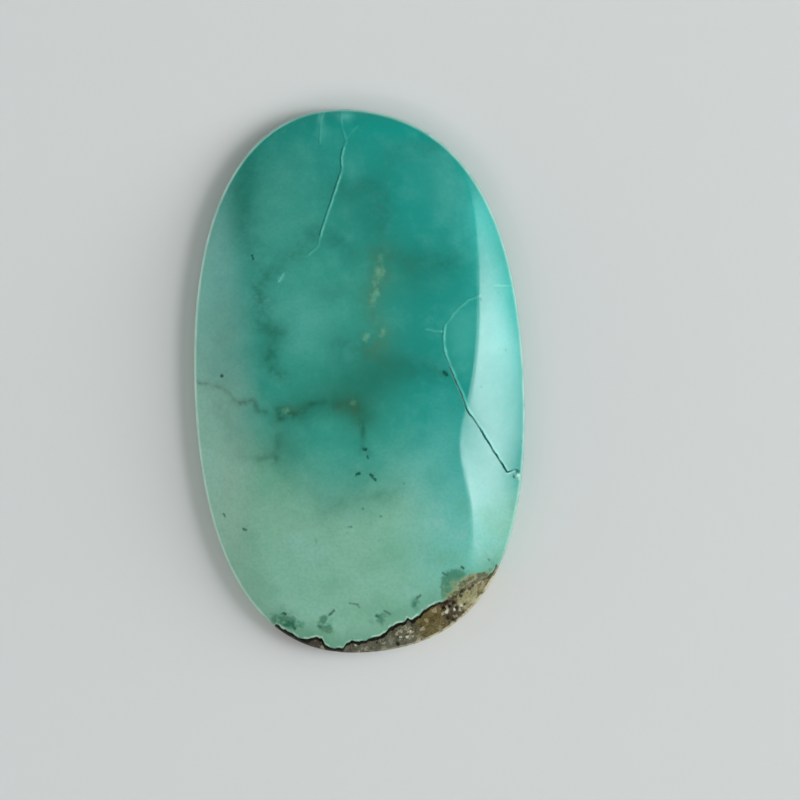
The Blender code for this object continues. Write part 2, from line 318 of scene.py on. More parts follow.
# Softbox: its strength by direction in degrees, how high its lower edge is there, and its
# strength by height in degrees
SOFTBOX_SIDES = (
    (-34, 0.0), (-26, 0.24), (-21, 0.40), (-16, 0.56), (-12, 0.92), (-9, 1.15), (0, 1.10), (8, 0.73),
    (15, 0.42), (23, 0.26), (30, 0.13), (38, 0.0),
)
SOFTBOX_LOWER_EDGE = ((-34, 15.0), (-10, 22.0), (2, 6.0), (14, 3.0), (38, 1.5))
SOFTBOX_EDGE_BLUR = 3.0
SOFTBOX_EDGE_BLUR_RISE = 0.12
SOFTBOX_TOP = 62
SOFTBOX_RISE = ((28, 1.0), (40, 0.66), (47, 1.28))
SOFTBOX_DISTANCE = 500
SOFTBOX_POWER = 7.0
SOFTBOX_COLOUR = (0.90, 0.97, 1.0, 1.0)

# Sky: its light by zones, and between which values each zone sets in. To the sides that is the
# share of the way to +X or -X, towards the far end the share of +Y, and upwards the height.
SKY_TO_SIDES = (0.32, 0.33, 0.34, 1.0)
SKY_TO_ENDS = (0.16, 0.165, 0.17, 1.0)
SIDEWAYS = (0.20, 0.80)
SKY_HALFWAY = (1.35, 1.38, 1.40, 1.0)
HALFWAY_UP = (0.52, 0.64)
AWAY_FROM_FAR_END = (0.35, -0.05)
SKY_OVERHEAD = (0.14, 0.145, 0.15, 1.0)
OVERHEAD = (0.74, 0.83)
SKY_GLOW = (1.08, 1.11, 1.10, 1.0)
GLOW_TOWARDS = (-0.998, 0.07, 0.0)
NEAR_GLOW = (0.80, 0.98)
BELOW_GLOW_TOP = (0.97, 0.60)

FLOOR_SIZE = 4000
CAMERA_DISTANCE = 250
CAMERA_X = 2.2
CAMERA_Y = -1.18
CAMERA_TURN = math.radians(-2.68)
VIEW_WIDTH = 43.97
SENSOR_WIDTH = 36

# Surface of the stone
POLISHED_ROUGHNESS = 0.08
POLISH_UNEVENNESS = 0.10
RIM_ROUGHNESS = 0.35
ROCK_ROUGHNESS = 0.5
FULL_SHINE = 0.5
SHINE_LOST_IN_GAPS = 0.47
SHINE_LOST_ON_RIDGE = 0.8
REFRACTIVE_INDEX = 1.61
INNER_GLOW = 0.12
INNER_GLOW_COLOURS = (0.6, 1.2, 1.0)
INNER_GLOW_REACH = 0.5
SKIN_RELIEF = 0.06

# Colours as a screen shows them, 0 to 255
COLOURS = {
    "teal": (20, 155, 142), "green_teal": (58, 164, 144), "pale_green": (142, 195, 166),
    "pale_blue": (110, 196, 182), "dull_mottle": (112, 176, 138), "clear_mottle": (152, 206, 190),
    # The pale clouds carry painted sheen, the flank tint a painted highlight, and the dark clouds also a
    # painted shade along the left ridge.
    "pale_cloud_and_painted_sheen": (134, 220, 208), "flank_tint_and_painted_highlight": (84, 222, 211), "dark_cloud_and_ridge_shade": (22, 108, 84),
    "teal_grain": (40, 120, 100), "bright_patch": (120, 220, 204), "vein": (20, 90, 68),
    # The rim colour is the ground rim's paleness and a painted highlight along it.
    "stain": (78, 124, 90), "fleck": (150, 204, 164), "rim": (206, 242, 226), "chip": (226, 240, 226),
    # The bright fracture colours are pale healed lines, partly painted reflection in the fractures.
    "speck": (22, 74, 60), "seam_pale_and_reflection": (100, 210, 196), "seam_edge_and_reflection": (118, 226, 204),
    "seam_gap": (8, 48, 40), "beside_rock": (84, 142, 112), "copper_green": (52, 122, 92),
    "copper_olive": (134, 156, 112), "patch_brown": (92, 78, 46), "patch_tan": (150, 142, 98),
    "rock_brown": (74, 64, 52), "rock_grey": (104, 104, 84), "rock_gold": (112, 98, 52),
    "rock_tan": (158, 152, 106), "rock_band": (58, 44, 28), "cell_dark": (70, 56, 38),
    "cell_light": (206, 196, 164), "rock_shade": (52, 40, 28), "grain_light": (210, 202, 176),
    # The rock rim colour is its ground edge's paleness and a painted highlight along it.
    "grain_dark": (40, 32, 22), "rock_rim_paleness_and_highlight": (206, 194, 156), "rock_pit": (30, 24, 16),
    # The ledge lip colour is a painted highlight on the turquoise's rounded lip.
    "rock_white": (232, 228, 202), "ledge_lip_highlight": (190, 226, 196), "ledge_gap": (18, 20, 12),
    "floor": (228, 227, 224),
}


def noise_at(x, y, z, size, seed=0):
    """Smooth noise from -1 to 1 at each place, with lumps of about the given size."""
    shift = Vector([seed * part for part in SEED_SHIFT])
    spots = zip(np.ravel(x), np.ravel(y), np.ravel(np.broadcast_to(z, np.shape(x))))
    values = [noise.noise(Vector(spot) / size + shift) for spot in spots]
    return np.array(values).reshape(np.shape(x))


def smooth_step(low, high, value):
    share = np.clip((value - low) / (high - low), 0, 1)
    return share * share * (3 - 2 * share)


def lobed_reach(angle):
    return 1 + sum(size * np.cos(repeats * (angle - math.radians(peak))) for repeats, size, peak in LOBES)


def rim_fit():
    """The shift and the stretch that bring the lobed outline to the part's box."""
    angle = np.linspace(0, math.tau, 1440)
    x = WIDTH / 2 * lobed_reach(angle) * np.cos(angle)
    y = LENGTH / 2 * lobed_reach(angle) * np.sin(angle)
    middle = ((x.min() + x.max()) / 2, (y.min() + y.max()) / 2)
    return middle, (WIDTH / np.ptp(x), LENGTH / np.ptp(y))


RIM_MIDDLE, RIM_STRETCH = rim_fit()


def rim_depth(angle):
    """Distance from the middle to the rim, measured square to the rim."""
    return lobed_reach(angle) / np.hypot(np.cos(angle) / (WIDTH / 2), np.sin(angle) / (LENGTH / 2))


def plan_of(angle, inset):
    """Where a direction and an inset from the rim lie, seen from above."""
    reach = lobed_reach(angle) * (1 - inset / rim_depth(angle))
    x = (WIDTH / 2 * reach * np.cos(angle) - RIM_MIDDLE[0]) * RIM_STRETCH[0]
    y = (LENGTH / 2 * reach * np.sin(angle) - RIM_MIDDLE[1]) * RIM_STRETCH[1]
    return x, y


def direction_of(x, y):
    """The direction and the inset of a place seen from above."""
    across = (x / RIM_STRETCH[0] + RIM_MIDDLE[0]) / (WIDTH / 2)
    along = (y / RIM_STRETCH[1] + RIM_MIDDLE[1]) / (LENGTH / 2)
    angle = np.arctan2(along, across)
    inset = rim_depth(angle) * (1 - np.hypot(across, along) / lobed_reach(angle))
    return angle, inset


def rock_width(angle):
    """How far in from the rim the rock reaches. Clear of it, minus the way round the rim to it."""
    degrees = np.degrees(angle)
    starts, widths = zip(*ROCK_EDGE)
    width = np.interp(degrees, starts, widths)
    rim_x, rim_y = plan_of(angle, np.zeros_like(angle))
    width = width + ROCK_EDGE_WIGGLE * noise_at(rim_x, rim_y, 0, ROCK_EDGE_WIGGLE_SIZE, 1)
    width = np.maximum(width, BEVEL_WIDTH + 0.04)
    beyond = np.minimum((starts[0] - degrees) % 360, (degrees - starts[-1]) % 360)
    clear = (degrees < starts[0]) | (degrees > starts[-1])
    return np.where(clear, -np.radians(beyond) * WIDTH / 2, width)


def flank_slope(angle):
    off = (angle - FLAT_SPOT + math.pi) % math.tau - math.pi
    flat = FLAT_SPOT_DEPTH * np.exp(-((off / FLAT_SPOT_SPREAD) ** 2))
    return FLANK_SLOPE + FLANK_SLOPE_TO_SIDE * np.cos(angle) - flat


def soft_minimum(one, other, softness):
    overlap = np.maximum(0, softness - np.abs(one - other)) / softness
    return np.minimum(one, other) - overlap**2 * softness / 4


def crown_and_flank(x, y, angle, inset):
    """Heights of the two surfaces that meet in the ridge."""
    crown = HEIGHT - x**2 / (2 * CROWN_RADIUS_ACROSS) - y**2 / (2 * CROWN_RADIUS_ALONG)
    crown = crown - SHOULDER_FALL * (x - SHOULDER_MIDDLE) ** 2 * np.maximum(0, y - SHOULDER_START) ** 2
    flank = DOME_FOOT + flank_slope(angle) * inset * (FLANK_START - FLANK_ROUNDING * inset)
    return crown, flank


def ridge_softness(angle):
    leftward = smooth_step(-0.80, 0.20, -np.cos(angle))
    return RIDGE_SOFTNESS + (RIDGE_SOFTNESS_LEFT - RIDGE_SOFTNESS) * leftward


def dome_height(x, y, angle, inset):
    crown, flank = crown_and_flank(x, y, angle, inset)
    return soft_minimum(crown, flank, ridge_softness(angle))


def ridge_field(x, y, angle, inset):
    """1 along the worn ridge, a little to its crown side, and less to both sides."""
    crown, flank = crown_and_flank(x, y, angle, inset)
    off = (crown - flank) / ridge_softness(angle) + RIDGE_WEAR_SHIFT
    return np.exp(-((off / RIDGE_WEAR_REACH) ** 2))


def line_distance(x, y, points):
    """Distance to a line through points, and the side of it: 1 left of its run, -1 right of it."""
    nearest = np.full_like(x, np.inf)
    side = np.ones_like(x)
    for (x0, y0), (x1, y1) in zip(points, points[1:]):
        run_x, run_y = x1 - x0, y1 - y0
        share = np.clip(((x - x0) * run_x + (y - y0) * run_y) / (run_x**2 + run_y**2), 0, 1)
        distance = np.hypot(x - x0 - share * run_x, y - y0 - share * run_y)
        closer = distance < nearest
        turn = run_x * (y - y0) - run_y * (x - x0)
        side = np.where(closer, np.where(turn > 0, 1.0, -1.0), side)
        nearest = np.minimum(nearest, distance)
    return nearest, side


def drift_at(x, y, reaches, sizes, seed):
    """An uneven shift across and along, made of broad and fine noise."""
    shifts = []
    for turn in (0, 2):
        broad = noise_at(x, y, 0, sizes[0], seed + turn)
        fine = noise_at(x, y, 0, sizes[1], seed + turn + 1)
        shifts.append(reaches[0] * broad + reaches[1] * fine)
    return shifts


def seam_fields(x, y):
    """Signed distance to the nearest fracture, with how bright and how dark it is there."""
    drift_x, drift_y = drift_at(x, y, SEAM_DRIFT, SEAM_DRIFT_SIZES, 71)
    uneven = np.clip(0.72 + 0.65 * noise_at(x, y, 0, 0.45, 75), 0.15, 1.0)
    signed = np.full_like(x, 1.0)
    bright = np.zeros_like(x)
    dark = np.zeros_like(x)
    for bright_here, dark_here, points in SEAMS:
        distance, side = line_distance(x + drift_x, y + drift_y, points)
        closer = distance < np.abs(signed)
        near = 1 - smooth_step(0.10, 0.20, distance)
        signed = np.where(closer, distance * side, signed)
        bright = np.maximum(bright, bright_here * near)
        dark = np.maximum(dark, dark_here * near)
    return signed, bright * uneven, dark * np.clip(uneven + 0.25, 0, 1)


def soft_lines(x, y, lines, seed):
    """How strongly each place lies on one of several smoky lines, each with a darker core."""
    drift_x, drift_y = drift_at(x, y, VEIN_DRIFT, VEIN_DRIFT_SIZES, seed)
    uneven = np.clip(0.9 + 0.5 * noise_at(x, y, 0, 0.8, seed + 4), 0.4, 1.3)
    strength = np.zeros_like(x)
    for half_width, amount, points in lines:
        share = min(1, 0.35 + half_width)
        distance, _ = line_distance(x + share * drift_x, y + share * drift_y, points)
        core = 0.65 * np.exp(-((distance / half_width) ** 2))
        haze = 0.40 * np.exp(-((distance / half_width / 2.2) ** 2))
        strength = np.maximum(strength, amount * (core + haze))
    return strength * uneven


def spot_distance(x, y, spots, seed):
    """Distance from the edge of the nearest of several uneven spots, less than 0 inside."""
    nearest = np.full_like(x, 1.0)
    for middle_x, middle_y, radius in spots:
        close = np.hypot(x - middle_x, y - middle_y) < radius + SPOT_REACH
        dx, dy = x[close] - middle_x, y[close] - middle_y
        wobble = 1 + 0.6 * noise_at(x[close], y[close], 0, 0.12, seed)
        nearest[close] = np.minimum(nearest[close], np.hypot(dx, dy) - radius * wobble)
    return nearest


def speck_fields(x, y):
    """Distance from the edge of the nearest long speck, less than 0 inside, and how dark it is."""
    nearest = np.full_like(x, 1.0)
    dark = np.zeros_like(x)
    for x0, y0, x1, y1, half_width in SPECKS:
        close = np.hypot(x - x0, y - y0) < SPECK_REACH
        distance, _ = line_distance(x[close], y[close], ((x0, y0), (x1 + 0.001, y1)))
        wobble = 1 + 0.7 * noise_at(x[close], y[close], 0, 0.10, 6)
        edge = distance - half_width * wobble
        amount = np.clip(half_width / SPECK_FULL_WIDTH, 0.3, 1)
        dark[close] = np.where(edge < nearest[close], amount, dark[close])
        nearest[close] = np.minimum(nearest[close], edge)
    return nearest, dark


def cloud_field(x, y, clouds, drift=0.5):
    """How strongly each place lies in one of several clouds with uneven edges."""
    shift_x = drift * noise_at(x, y, 0, 4 * drift, 11)
    shift_y = drift * noise_at(x, y, 0, 4 * drift, 12)
    total = np.zeros_like(x)
    for middle_x, middle_y, across, along, amount in clouds:
        reach = ((x - middle_x + shift_x) / across) ** 2 + ((y - middle_y + shift_y) / along) ** 2
        total += amount * np.exp(-reach)
    return np.clip(total, 0, 1)


def pale_field(x, y):
    """How pale the turquoise has turned, from 0 teal to 1 pale green."""
    drift = 0.7 * noise_at(x, y, 0, 3.0, 21) + 0.4 * noise_at(x, y, 0, 1.1, 22)
    distance, side = line_distance(x, y, PALE_LINE)
    return smooth_step(PALE_BEFORE, PALE_AFTER, -distance * side + drift)


def rim_paleness_and_highlight(x, y, z, angle, inset):
    """How pale the ground rim is, with a painted highlight along it, from 0 to 1. The wall below it is
    less pale.
    """
    directions, amounts = zip(*RIM_PALENESS_AND_HIGHLIGHT)
    amount = np.interp(np.degrees(angle), directions, amounts)
    uneven = np.clip(0.95 + 0.35 * noise_at(x, y, z, 0.6, 23), 0.5, 1.2)
    below = 1 - smooth_step(WALL_TOP - 0.30, WALL_TOP - 0.02, z)
    return np.clip(amount * uneven * (1 - 0.6 * below), 0, 1) * (1 - smooth_step(0.10, 0.22, inset))


def dome_relief(x, y, angle, inset):
    """Everything that stands above or sinks below the smooth dome."""
    into_rock = rock_width(angle) - inset
    on_rock = smooth_step(-0.01, 0.05, into_rock)
    lumps = ROCK_LUMPS * noise_at(x, y, 0, ROCK_LUMP_SIZE, 3)
    grains = noise_at(x, y, 0, ROCK_GRAIN_SIZE, 4) + 0.5 * noise_at(x, y, 0, ROCK_GRAIN_SIZE / 2, 5)
    grains = ROCK_GRAINS * grains
    pits = ROCK_PIT_DEPTH * (1 - smooth_step(-0.06, 0.03, spot_distance(x, y, ROCK_PITS, 6)))
    rim_share = smooth_step(0.0, 0.25, inset - BEVEL_WIDTH)
    groove = ROCK_GROOVE * np.exp(-(((into_rock - ROCK_GROOVE_INSET) / ROCK_GROOVE_WIDTH) ** 2))
    sunk = ROCK_SINK * (0.4 + 0.6 * rim_share) + (lumps + grains + pits) * (0.3 + 0.7 * rim_share)
    rock = -on_rock * np.maximum(sunk + groove, 0.01)
    lip = -LEDGE_LIP * np.exp(np.minimum(into_rock, 0) / LEDGE_LIP_WIDTH) * (1 - on_rock)
    signed, _, dark = seam_fields(x, y)
    gap = -SEAM_DEPTH * dark * np.exp(-(((signed + SEAM_GAP_OFFSET) / SEAM_GAP_WIDTH) ** 2))
    holes = -SPECK_DEPTH * (1 - smooth_step(-0.05, 0.02, speck_fields(x, y)[0]))
    waves = POLISH_WAVES * noise_at(x, y, 0, POLISH_WAVE_SIZE, 7) * smooth_step(0.0, 1.0, inset)
    return rock + lip + gap + holes + waves


def segment_angles():
    """Directions of the segments, closer together along the host rock."""
    angle = np.linspace(-math.pi, math.pi, 7200)
    degrees = np.degrees(angle)
    start, end = ROCK_EDGE[0][0], ROCK_EDGE[-1][0]
    along_rock = smooth_step(start - 12, start, degrees) * (1 - smooth_step(end, end + 12, degrees))
    density = 1 + ROCK_SEGMENT_DENSITY * along_rock
    total = np.concatenate(([0], np.cumsum((density[1:] + density[:-1]) / 2)))
    return np.interp(np.arange(SEGMENTS) * total[-1] / SEGMENTS, total, angle)


def edge_profile():
    """Inset and height up the edge, from the back's rim to the dome's, with its corners eased."""
    bevel_height = DOME_FOOT + FLANK_SLOPE * BEVEL_WIDTH * (FLANK_START - FLANK_ROUNDING * BEVEL_WIDTH)
    corners = np.array((
        (CHAMFER + EDGE_ENDS[0], 0.0),
        (CHAMFER, 0.0),
        (0.0, CHAMFER),
        (WALL_LEAN, WALL_TOP),
        (BEVEL_WIDTH, bevel_height),
        (BEVEL_WIDTH + EDGE_ENDS[1], bevel_height + EDGE_ENDS[1] * FLANK_SLOPE),
    ))
    runs = np.concatenate(([0], np.cumsum(np.hypot(*np.diff(corners, axis=0).T))))
    fine = np.arange(0, runs[-1], EDGE_FINE_STEP)
    points = np.stack([np.interp(fine, runs, corners[:, axis]) for axis in (0, 1)], axis=1)
    kernel = np.hanning(EDGE_EASING)[1:-1]
    kernel /= kernel.sum()
    eased = np.stack([np.convolve(points[:, axis], kernel, mode="valid") for axis in (0, 1)], axis=1)
    before_dome = eased[:, 0] < BEVEL_WIDTH - 0.01
    on_edge = (eased[:, 1] > 0.0) & ((eased[:, 1] < WALL_TOP) | before_dome)
    return eased[on_edge][::EDGE_KEPT]


def band_insets(angle):
    """Insets of the rows along the rim. They crowd together at the rock's ledge."""
    width = rock_width(angle)
    first = ROCK_EDGE[0][1] + 6.0 * np.maximum(0, -width) / (WIDTH / 2)
    ledge = np.where(width > 0, width, np.minimum(BAND_EVEN_LEDGE, first))
    room = np.clip((ledge - BEVEL_WIDTH - 0.01) / 0.2, 0.02, 1)
    rows = []
    foot = ledge + LEDGE_OFFSETS[0] * room
    for share in np.linspace(0, 1, OUTER_BAND_ROWS)[:-1]:
        rows.append(BEVEL_WIDTH + (foot - BEVEL_WIDTH) * share)
    for offset in LEDGE_OFFSETS:
        rows.append(ledge + offset * (room if offset < 0 else 1))
    last = rows[-1]
    for share in np.linspace(0, 1, INNER_BAND_ROWS)[1:]:
        rows.append(last + (BAND_END - last) * share)
    return rows


def stone_rows():
    """Rows of points from the back's middle, out round the edge and in over the dome."""
    angle = segment_angles()
    depth = rim_depth(angle)
    rows = []
    for share in np.linspace(BACK_START, 1, BACK_ROWS):
        x, y = plan_of(angle, depth - (depth - CHAMFER - BACK_GAP) * share)
        rows.append((x, y, np.zeros(SEGMENTS)))
    rock = smooth_step(0.0, 0.3, rock_width(angle))
    for inset, height in edge_profile():
        x, y = plan_of(angle, np.full(SEGMENTS, inset))
        rough = 0.5 + 0.6 * noise_at(x, y, height, 0.45, 8) + 0.35 * noise_at(x, y, height, 0.16, 9)
        middle = math.sin(math.pi * np.clip((height - CHAMFER) / (WALL_TOP - CHAMFER), 0, 1))
        rough = np.clip(rough, 0, 1.5) * WALL_ROUGHNESS * rock * middle
        x, y = plan_of(angle, inset + rough)
        rows.append((x, y, np.full(SEGMENTS, height)))
    on_dome = [False] * len(rows)
    insets = band_insets(angle)
    for share in np.linspace(0, 1, CROWN_ROWS + 1)[1:-1]:
        insets.append(depth - (depth - BAND_END) * (1 - share))
    for inset in insets:
        x, y = plan_of(angle, inset)
        rows.append((x, y, dome_height(x, y, angle, inset)))
    return rows, on_dome + [True] * len(insets)


def stone_mesh():
    """The bare stone: rows of quads closed by a fan at each end."""
    rows, on_dome = stone_rows()
    points = [tuple(point) for row in rows for point in np.stack(row, axis=1)]
    back_middle, peak = len(points), len(points) + 1
    points += [(0.0, 0.0, 0.0), (0.0, 0.0, HEIGHT)]
    faces = []
    for row in range(len(rows) - 1):
        for segment in range(SEGMENTS):
            here = row * SEGMENTS + segment
            beside = row * SEGMENTS + (segment + 1) % SEGMENTS
            faces.append((here, beside, beside + SEGMENTS, here + SEGMENTS))
    last = (len(rows) - 1) * SEGMENTS
    for segment in range(SEGMENTS):
        beside = (segment + 1) % SEGMENTS
        faces.append((back_middle, beside, segment))
        faces.append((peak, last + segment, last + beside))
    mesh = bpy.data.meshes.new("turquoise_stone")
    mesh.from_pydata(points, [], faces)
    dome = mesh.attributes.new("dome", "FLOAT", "POINT")
    flags = np.repeat(np.array(on_dome, dtype=np.float32), SEGMENTS)
    dome.data.foreach_set("value", np.concatenate((flags, [0.0, 1.0])).astype(np.float32))
    return mesh


def points_of(mesh):
    coordinates = np.zeros(len(mesh.vertices) * 3)
    mesh.vertices.foreach_get("co", coordinates)
    return coordinates.reshape(-1, 3)


def divide_fine_places(mesh):
    """Divide the dome's faces finely where a fracture, a thin vein or a speck runs."""
    points = points_of(mesh)
    x, y = points[:, 0], points[:, 1]
    near = np.full(len(x), 1.0)
    thin_veins = [line for half_width, _, line in VEINS_AND_RIDGE_SHADE if half_width < THIN_VEIN]
    for line in [line for _, _, line in SEAMS] + thin_veins:
        near = np.minimum(near, line_distance(x, y, line)[0])
    near = np.minimum(near, speck_fields(x, y)[0] + 0.02)
    shape = bmesh.new()
    shape.from_mesh(mesh)
    shape.verts.ensure_lookup_table()
    dome = shape.verts.layers.float["dome"]
    chosen = set()
    for face in shape.faces:
        if len(face.verts) == 4 and all(corner[dome] > 0.5 for corner in face.verts):
            if min(near[corner.index] for corner in face.verts) < FINE_REACH:
                chosen.update(face.edges)
    bmesh.ops.subdivide_edges(shape, edges=list(chosen), cuts=FINE_CUTS, use_grid_fill=True)
    bmesh.ops.triangulate(shape, faces=[face for face in shape.faces if len(face.verts) > 4])
    shape.to_mesh(mesh)
    shape.free()


def rock_field(x, y, z, angle, inset, on_dome):
    """Millimetres into the host rock, less than 0 outside it, on the dome, the wall and the back."""
    wall_share = np.clip(z / WALL_TOP, 0, 1)
    drift = 0.12 * (1 - wall_share) * (noise_at(x, y, z, 0.9, 32) + 0.5 * noise_at(x, y, z, 0.3, 33))
    width = rock_width(angle + np.where(on_dome, 0, drift))
    back_width = np.where(width > 0, 1.7 * width + 0.7, width) + 0.35 * noise_at(x, y, z, 1.6, 31)
    under = back_width + (width - back_width) * wall_share
    return np.where(on_dome, width, under) - inset


def shape_and_mark(mesh):
    """Give the dome its relief, and every point the fields that its colours are made from."""
    points = points_of(mesh)
    x, y, z = points.T
    on_dome = np.zeros(len(x), dtype=np.float32)
    mesh.attributes["dome"].data.foreach_get("value", on_dome)
    on_dome = on_dome > 0.5
    angle, inset = direction_of(x, y)
    top = dome_height(x, y, angle, inset) + dome_relief(x, y, angle, inset)
    bevel = smooth_step(BEVEL_WIDTH, BEVEL_WIDTH + 0.03, inset)
    z = np.where(on_dome, np.where(inset > BEVEL_WIDTH + 0.001, z + bevel * (top - z), z), z)
    for middle_x, middle_y, radius, depth in CHIPS:
        near = np.clip(1 - np.hypot(x - middle_x, y - middle_y) / radius, 0, 1)
        scoop = depth * np.sqrt(near) * (z > CHAMFER)
        x = x - scoop * np.cos(angle)
        y = y - scoop * np.sin(angle)
        z = z - scoop
    mesh.vertices.foreach_set("co", np.stack((x, y, z), axis=1).ravel() * MM)
    signed, bright, dark = seam_fields(x, y)
    speck, speck_dark = speck_fields(x, y)
    top_side = np.where(on_dome, 1.0, 0.0)
    fields = {
        "pale": pale_field(x, y),
        "pale_cloud_and_painted_sheen": cloud_field(x, y, PALE_CLOUDS_AND_PAINTED_SHEEN),
        "dark_cloud_and_ridge_shade": cloud_field(x, y, DARK_CLOUDS_AND_RIDGE_SHADE),
        "flank_tint_and_painted_highlight": cloud_field(x, y, FLANK_TINT_AND_PAINTED_HIGHLIGHT, 0.3) * top_side,
        "blue": cloud_field(x, y, BLUE_CLOUDS),
        "green": cloud_field(x, y, GREEN_CLOUDS),
        "vein": soft_lines(x, y, VEINS_AND_RIDGE_SHADE, 41) * top_side,
        "stain": soft_lines(x, y, STAINS, 51) * top_side,
        "fleck": spot_distance(x, y, FLECKS, 61) + 1 - top_side,
        "speck": speck + 1 - top_side,
        "speck_dark": speck_dark,
        "copper": cloud_field(x, y, COPPER_PATCHES, 0.12),
        "brown": cloud_field(x, y, BROWN_PATCHES, 0.12),
        "bright": cloud_field(x, y, BRIGHT_PATCHES, 0.10),
        "pale_grain": spot_distance(x, y, ROCK_GRAINS_PALE, 62),
        "pit": spot_distance(x, y, ROCK_PITS, 6),
        "seam": signed,
        "seam_bright": bright * top_side,
        "seam_dark": dark * top_side,
        "rock": rock_field(x, y, z, angle, inset, on_dome),
        "rim": rim_paleness_and_highlight(x, y, z, angle, inset),
        "ridge": ridge_field(x, y, angle, inset) * top_side,
        "inset": inset,
        "round_rim": np.degrees(angle),
    }
    for name, values in fields.items():
        attribute = mesh.attributes.new(name, "FLOAT", "POINT")
        attribute.data.foreach_set("value", np.asarray(values, dtype=np.float32))
    mesh.attributes.remove(mesh.attributes["dome"])


def colour_of(name):
    """A named colour as the light values that a shader takes."""
    shares = [value / 255 for value in COLOURS[name]]
    light = [share / 12.92 if share <= 0.04045 else ((share + 0.055) / 1.055) ** 2.4 for share in shares]
    return (*light, 1.0)


def fill_inputs(node, inputs):
    """Set a node's inputs to values, or join them to other outputs."""
    for name, value in inputs.items():
        if isinstance(value, bpy.types.NodeSocket):
            node.id_data.links.new(value, node.inputs[name])
        else:
            node.inputs[name].default_value = value


def add_node(tree, kind, inputs=None, **settings):
    node = tree.nodes.new("ShaderNode" + kind)
    for name, value in settings.items():
        setattr(node, name, value)
    fill_inputs(node, inputs or {})
    return node


def field(tree, name):
    return add_node(tree, "Attribute", attribute_name=name).outputs["Fac"]


def grain(place, size, detail=2.0, roughness=0.5):
    """Noise from 0 to 1 with lumps of a size in millimetres."""
    inputs = {"Vector": place, "Scale": 1 / size, "Detail": detail, "Roughness": roughness}
    return add_node(place.id_data, "TexNoise", inputs).outputs["Fac"]


def step(value, low, high):
    """0 below low, 1 above high and a smooth rise between, or a fall where low is the higher."""
    inputs = {"Value": value, "From Min": low, "From Max": high}
    return add_node(value.id_data, "MapRange", inputs, interpolation_type="SMOOTHSTEP").outputs["Result"]


def maths(operation, one, other=0.0, clamp=False):
    node = add_node(one.id_data, "Math", {0: one, 1: other}, operation=operation, use_clamp=clamp)
    return node.outputs["Value"]


def times(one, other, clamp=False):
    return maths("MULTIPLY", one, other, clamp)


def plus(one, other, clamp=False):
    return maths("ADD", one, other, clamp)


def minus(one, other):
    return maths("SUBTRACT", one, other)


def scaled(value, factor, start):
    """The value times a factor, with a start added."""
    return plus(times(value, factor), start)


def about_zero(value, amount):
    """Noise from 0 to 1 moved to lie about 0, times an amount."""
    return times(minus(value, 0.5), amount)


def band(value, middle, half_width, softness):
    """1 where the value lies within a half width of the middle, with soft sides."""
    off = maths("ABSOLUTE", minus(value, middle))
    return step(off, half_width + softness, half_width - softness)


def blend(share, first, second):
    """The first colour where the share is 0, the second where it is 1."""
    inputs = {0: share, 6: first, 7: second}
    return add_node(share.id_data, "Mix", inputs, data_type="RGBA").outputs[2]


def lay_over(colour, layers):
    """Named colours laid over a colour one after another, each by its share times its amount."""
    for share, name, amount in layers:
        colour = blend(times(share, amount), colour, colour_of(name))
    return colour


def stone_place(tree):
    """The place on the stone, in millimetres."""
    place = add_node(tree, "TexCoord").outputs["Object"]
    inputs = {0: place, "Scale": 1 / MM}
    return add_node(tree, "VectorMath", inputs, operation="SCALE").outputs["Vector"]


def turquoise_colour(tree, place):
    """Teal that turns pale green, clouded and mottled, with painted sheen and highlight on the flanks and
    painted shade along the left ridge.
    """
    mottle = about_zero(grain(place, 1.2, 3.0, 0.6), 1.0)
    broad = grain(place, 2.6, 3.0, 0.55)
    fine = grain(place, 0.18, 3.0, 0.65)
    teal = blend(field(tree, "green"), colour_of("teal"), colour_of("green_teal"))
    pale = blend(field(tree, "blue"), colour_of("pale_green"), colour_of("pale_blue"))
    pale = lay_over(pale, (
        (step(broad, 0.48, 0.70), "dull_mottle", 0.45),
        (step(broad, 0.44, 0.30), "clear_mottle", 0.40),
    ))
    share = plus(field(tree, "pale"), times(mottle, 0.22), clamp=True)
    colour = blend(share, teal, pale)
    # Pale clouds with painted sheen, the right flank's painted highlight, and dark clouds with the left
    # ridge's painted shade.
    for name, mottling in (("pale_cloud_and_painted_sheen", 0.16), ("flank_tint_and_painted_highlight", 0.08), ("dark_cloud_and_ridge_shade", -0.22)):
        share = plus(field(tree, name), times(mottle, mottling), clamp=True)
        colour = blend(share, colour, colour_of(name))
    return lay_over(colour, ((step(fine, 0.38, 0.68), "teal_grain", 0.12),))


def gap_share(tree):
    """How much each place lies in the open gap of a fracture."""
    return times(band(field(tree, "seam"), -0.040, 0.050, 0.022), field(tree, "seam_dark"))


def speck_share(tree, place):
    """How much each place lies in a dark speck, with ragged edges and uneven strength."""
    ragged = about_zero(grain(place, 0.13, 3.0, 0.7), 0.16)
    speck = plus(field(tree, "speck"), ragged)
    return times(step(speck, 0.060, -0.030), field(tree, "speck_dark"))


